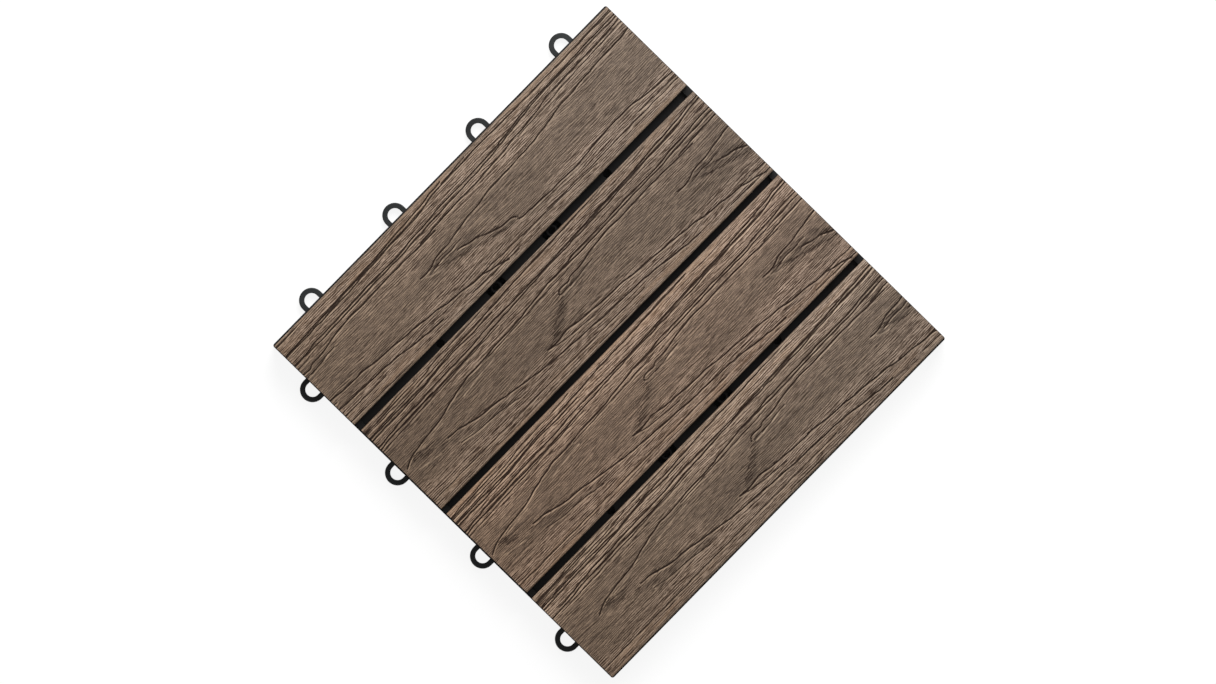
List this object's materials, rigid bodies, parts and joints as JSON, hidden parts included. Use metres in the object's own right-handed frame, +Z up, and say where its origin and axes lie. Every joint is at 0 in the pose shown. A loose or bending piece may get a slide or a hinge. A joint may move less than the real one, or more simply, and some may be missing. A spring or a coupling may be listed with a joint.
{
  "type": "interlocking deck tile",
  "caption": "Square deck tile: grained composite slats screwed to a moulded lattice base with interlocking loops on two sides and matching sockets on the others.",
  "frame": {"origin": "centre of the square that the tile covers, on the ground, on the underside of the middle pad", "axes": "+X along the slats, away from the side with loops at their ends; +Y across the slats, towards the long side with loops; +Z up"},
  "size_m": [0.3103, 0.3103, 0.023],
  "materials": {
    "base": "moulded polypropylene, fine satin texture",
    "slat": "wood-plastic composite, brushed and embossed with a coarse grain",
    "screw": "zinc plated"
  },
  "bodies": {
    "root": {"base_grid": "base", "slat_1": "slat", "slat_2": "slat", "slat_3": "slat", "slat_4": "slat", "slat_screws": "screw"}
  },
  "joints": []
}
